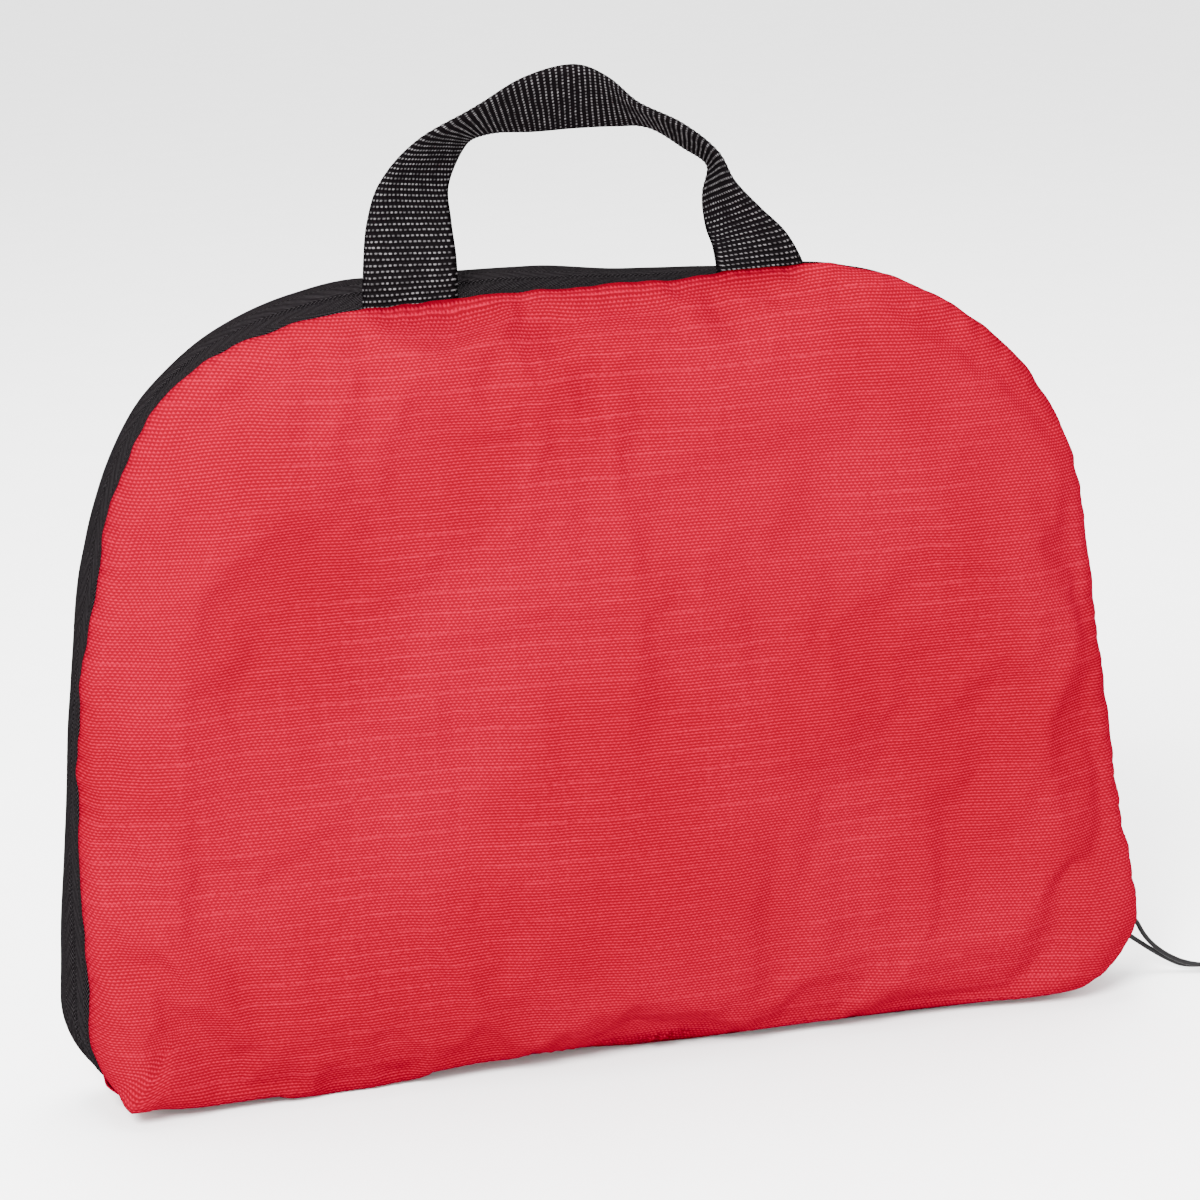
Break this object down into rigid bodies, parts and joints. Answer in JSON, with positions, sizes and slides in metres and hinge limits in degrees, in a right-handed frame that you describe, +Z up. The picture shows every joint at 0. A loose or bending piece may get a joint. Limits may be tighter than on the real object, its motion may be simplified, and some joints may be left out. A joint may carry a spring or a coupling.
{
  "type": "fire blanket in zipped pouch",
  "caption": "Soft D-shaped zipped pouch with a webbing carry loop, a zip pull on a cord loop and a folded fire blanket inside.",
  "frame": {"origin": "centre of the pouch's box at the surface it stands on, cord and grip left out", "axes": "+Z up, -Y out of the domed front panel, +X to the right seen from the front, where the zip ends"},
  "size_m": [0.3257, 0.039, 0.2575],
  "materials": {
    "red_ripstop": "woven ripstop nylon, slight sheen",
    "zip_tape": "herringbone woven tape",
    "zip_coil": "nylon coil",
    "binding": "woven binding",
    "zip_metal": "black painted",
    "slider_metal": "black painted",
    "pull_cord": "thin braided cord, glossy",
    "grip": "moulded",
    "webbing": "ribbed webbing",
    "glass_cloth": "woven glass fibre cloth",
    "white_tape": "woven tape"
  },
  "bodies": {
    "root": {"back_panel": "red_ripstop", "bottom_gusset": "red_ripstop", "zip_tape_back": "zip_tape", "zip_coil_back": "zip_coil", "seam_binding_back": "binding", "zip_bottom_stop": "zip_metal", "zip_top_stop_back": "zip_metal"},
    "cover": {"front_panel": "red_ripstop", "zip_tape_front": "zip_tape", "zip_coil_front": "zip_coil", "seam_binding_front": "binding", "zip_top_stop_front": "zip_metal", "handle_tail_left": "webbing", "handle_tail_right": "webbing"},
    "handle": {"handle_webbing": "webbing"},
    "slider": {"slider_body": "slider_metal"},
    "puller": {"pull_tab": "slider_metal", "pull_cord": "pull_cord", "cord_grip": "grip"},
    "blanket": {"blanket": "glass_cloth", "blanket_tape_left": "white_tape", "blanket_tape_right": "white_tape"}
  },
  "joints": [
    {"name": "cover_open", "type": "hinge", "parent": "root", "child": "cover", "pos_m": [-0.002, -0.0115, 0.0006], "axis": [1, 0, 0], "range_deg": [0, 80]},
    {"name": "handle_tilt", "type": "hinge", "parent": "cover", "child": "handle", "pos_m": [-0.002, -0.0055, 0.2022], "axis": [1, 0, 0], "range_deg": [-45, 45]},
    {"name": "zip_travel", "type": "slide", "parent": "root", "child": "slider", "axis": [-0.1132, 0, 0.9936], "range_m": [0, 0.09]},
    {"name": "pull_flip", "type": "hinge", "parent": "slider", "child": "puller", "pos_m": [0.13963, 0.0035, 0.03424], "axis": [0, -1, 0], "range_deg": [0, 110]},
    {"name": "blanket_pull", "type": "slide", "parent": "root", "child": "blanket", "axis": [0, 0, 1], "range_m": [0, 0.165]}
  ],
  "couplings": [
    {"joint": "blanket_pull", "follows": "cover_open", "m_per_rad": 0.115}
  ]
}
